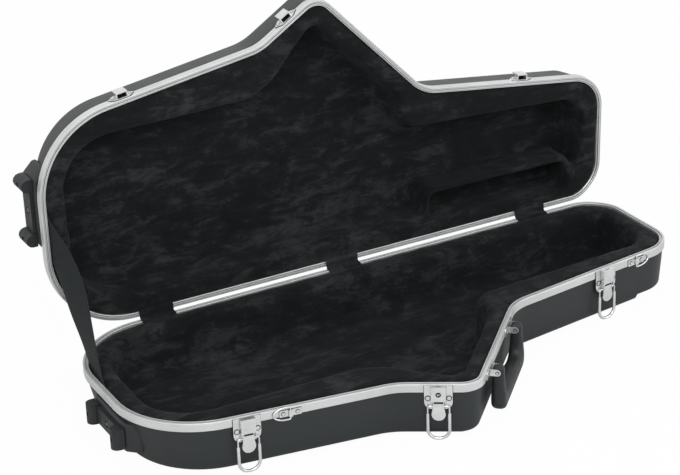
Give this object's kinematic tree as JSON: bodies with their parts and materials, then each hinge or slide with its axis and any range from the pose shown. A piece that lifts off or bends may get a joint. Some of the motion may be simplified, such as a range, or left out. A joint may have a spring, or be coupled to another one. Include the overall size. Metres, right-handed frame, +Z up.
{
  "type": "tenor saxophone case",
  "caption": "Open moulded hard case for a tenor saxophone: hinged lid, plush-lined fitted halves, draw latches, carrying handle, strap rings, stay strap and end feet.",
  "frame": {"origin": "on the flat underside of the base, 400 mm from the valance's inner edge at the bell end and 140 mm in front of its inner edge at the hinges", "axes": "+X towards the neck end, +Y towards the hinges and the open lid, +Z up; the latches face -Y"},
  "size_m": [0.8904, 0.4679, 0.4763],
  "materials": {
    "moulded_abs": "fine-grained charcoal black moulding",
    "satin_aluminium": "satin extrusion",
    "bright_nickel": "bright nickel plate on steel",
    "black_plush": "crushed black plush on foam",
    "black_web": "woven black web",
    "black_moulding": "satin black moulding"
  },
  "bodies": {
    "base": {"base_shell": "moulded_abs", "base_valance": "satin_aluminium", "base_lining": "black_plush", "base_end_foot": "black_moulding", "base_foot_screw": "bright_nickel", "strap_plate_base": "bright_nickel", "stay_strap": "black_web", "strap_clip_bell": "bright_nickel", "strap_clip_neck": "bright_nickel", "handle_bracket_apex": "bright_nickel", "handle_bracket_neck": "bright_nickel", "handle_pin_apex": "bright_nickel", "handle_pin_neck": "bright_nickel", "hinge_1_base_leaf": "bright_nickel", "hinge_2_base_leaf": "bright_nickel", "hinge_3_base_leaf": "bright_nickel", "hinge_1_pin": "bright_nickel", "hinge_2_pin": "bright_nickel", "hinge_3_pin": "bright_nickel", "hinge_1_cover": "black_plush", "hinge_2_cover": "black_plush", "hinge_3_cover": "black_plush", "latch_bell_plate": "bright_nickel", "latch_apex_plate": "bright_nickel", "latch_neck_plate": "bright_nickel", "latch_bell_pin": "bright_nickel", "latch_apex_pin": "bright_nickel", "latch_neck_pin": "bright_nickel"},
    "lid": {"lid_shell": "moulded_abs", "lid_valance": "satin_aluminium", "lid_lining": "black_plush", "lid_end_foot": "black_moulding", "lid_foot_screw": "bright_nickel", "strap_plate_lid": "bright_nickel", "hinge_1_lid_leaf": "bright_nickel", "hinge_2_lid_leaf": "bright_nickel", "hinge_3_lid_leaf": "bright_nickel", "catch_bell": "bright_nickel", "catch_apex": "bright_nickel", "catch_neck": "bright_nickel"},
    "lever_bell": {"latch_bell_lever": "bright_nickel"},
    "bail_bell": {"latch_bell_bail": "bright_nickel"},
    "lever_apex": {"latch_apex_lever": "bright_nickel"},
    "bail_apex": {"latch_apex_bail": "bright_nickel"},
    "lever_neck": {"latch_neck_lever": "bright_nickel"},
    "bail_neck": {"latch_neck_bail": "bright_nickel"},
    "lock": {"lock_cylinder": "bright_nickel"},
    "handle": {"handle_grip": "black_moulding"},
    "ring_bell": {"strap_ring_bell": "bright_nickel"},
    "ring_neck": {"strap_ring_neck": "bright_nickel"}
  },
  "joints": [
    {"name": "lid_hinge", "type": "hinge", "parent": "base", "child": "lid", "pos_m": [0, 0.1499, 0.0787], "axis": [1, 0, 0], "range_deg": [0, 88], "deforming": ["stay_strap", "hinge_1_cover", "hinge_2_cover", "hinge_3_cover"]},
    {"name": "lever_bell_turn", "type": "hinge", "parent": "base", "child": "lever_bell", "pos_m": [-0.28375, -0.17368, 0.0555], "axis": [0.9888, -0.1493, 0], "range_deg": [-90, 0]},
    {"name": "bail_bell_swing", "type": "hinge", "parent": "lever_bell", "child": "bail_bell", "pos_m": [-0.28375, -0.17368, 0.05], "axis": [-0.9888, 0.1493, 0], "range_deg": [0, 180]},
    {"name": "lever_apex_turn", "type": "hinge", "parent": "base", "child": "lever_apex", "pos_m": [-0.0443, -0.23128, 0.0555], "axis": [0.8424, -0.5388, 0], "range_deg": [-90, 0]},
    {"name": "bail_apex_swing", "type": "hinge", "parent": "lever_apex", "child": "bail_apex", "pos_m": [-0.0443, -0.23128, 0.05], "axis": [-0.8424, 0.5388, 0], "range_deg": [0, 180]},
    {"name": "lever_neck_turn", "type": "hinge", "parent": "base", "child": "lever_neck", "pos_m": [0.33014, -0.06624, 0.0555], "axis": [0.9901, 0.1405, 0], "range_deg": [-90, 0]},
    {"name": "bail_neck_swing", "type": "hinge", "parent": "lever_neck", "child": "bail_neck", "pos_m": [0.33014, -0.06624, 0.05], "axis": [-0.9901, -0.1405, 0], "range_deg": [0, 180]},
    {"name": "lock_turn", "type": "hinge", "parent": "base", "child": "lock", "pos_m": [-0.04646, -0.23464, 0.068], "axis": [0.5388, 0.8424, 0], "range_deg": [0, 90]},
    {"name": "handle_swing", "type": "hinge", "parent": "base", "child": "handle", "pos_m": [0.09189, -0.18141, 0.072], "axis": [-0.692, -0.7219, 0], "range_deg": [0, 100]},
    {"name": "ring_bell_swing", "type": "hinge", "parent": "base", "child": "ring_bell", "pos_m": [-0.22687, -0.17969, 0.0713], "axis": [0, 0, 1], "range_deg": [0, 165]},
    {"name": "ring_neck_swing", "type": "hinge", "parent": "base", "child": "ring_neck", "pos_m": [0.38728, -0.05556, 0.0713], "axis": [0, 0, -1], "range_deg": [0, 165]}
  ]
}
